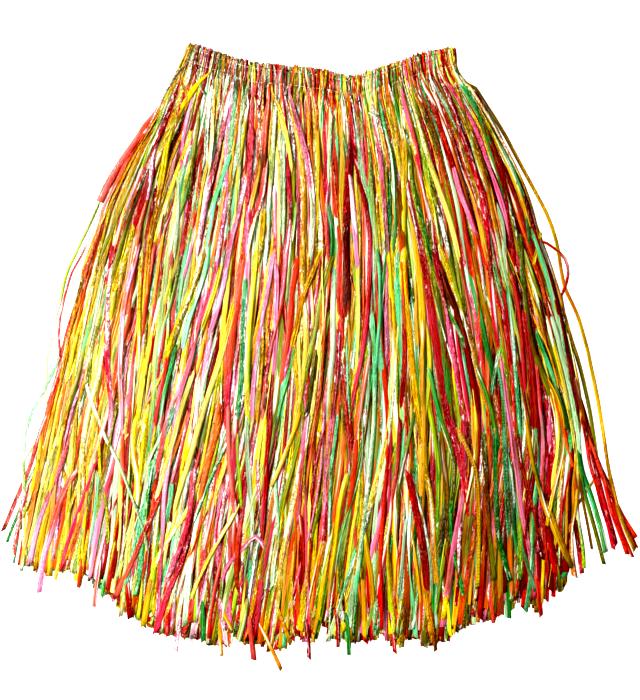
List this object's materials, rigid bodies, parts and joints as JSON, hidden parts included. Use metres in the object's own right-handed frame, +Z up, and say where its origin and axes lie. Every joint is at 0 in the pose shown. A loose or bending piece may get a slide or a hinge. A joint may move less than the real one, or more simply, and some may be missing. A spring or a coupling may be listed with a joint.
{
  "type": "grass skirt",
  "caption": "Multicoloured raffia-ribbon grass skirt gathered on an elastic waistband, lying flat with its front over its back.",
  "frame": {"origin": "middle of the skirt's outline, on the surface that it lies on", "axes": "+X across the skirt, towards its right side as it is looked down on; +Y from the hem to the waist; +Z up from the surface, out of the front"},
  "size_m": [0.6662, 0.6522, 0.0152],
  "materials": {
    "raffia_yellow": "crinkled glossy split film, golden yellow",
    "raffia_orange": "crinkled glossy split film, orange",
    "raffia_red": "crinkled glossy split film, red",
    "raffia_pink": "crinkled glossy split film, hot pink",
    "raffia_green": "crinkled glossy split film, mid green to mint",
    "elastic": "woven white elastic",
    "thread": "white polyester sewing thread"
  },
  "bodies": {
    "root": {"elastic_band": "elastic", "front_hank_01": "raffia_yellow", "front_hank_02": "raffia_pink", "front_hank_03": "raffia_green", "front_hank_04": "raffia_yellow", "front_hank_05": "raffia_orange", "front_hank_06": "raffia_red", "front_hank_07": "raffia_pink", "front_hank_08": "raffia_yellow", "front_hank_09": "raffia_green", "front_hank_10": "raffia_orange", "front_hank_11": "raffia_yellow", "front_hank_12": "raffia_red", "front_hank_13": "raffia_pink", "front_hank_14": "raffia_green", "front_hank_15": "raffia_red", "back_hank_01": "raffia_yellow", "back_hank_02": "raffia_pink", "back_hank_03": "raffia_green", "back_hank_04": "raffia_yellow", "back_hank_05": "raffia_orange", "back_hank_06": "raffia_red", "back_hank_07": "raffia_pink", "back_hank_08": "raffia_yellow", "back_hank_09": "raffia_green", "back_hank_10": "raffia_orange", "back_hank_11": "raffia_yellow", "back_hank_12": "raffia_red", "back_hank_13": "raffia_pink", "back_hank_14": "raffia_green", "back_hank_15": "raffia_red"}
  },
  "joints": []
}
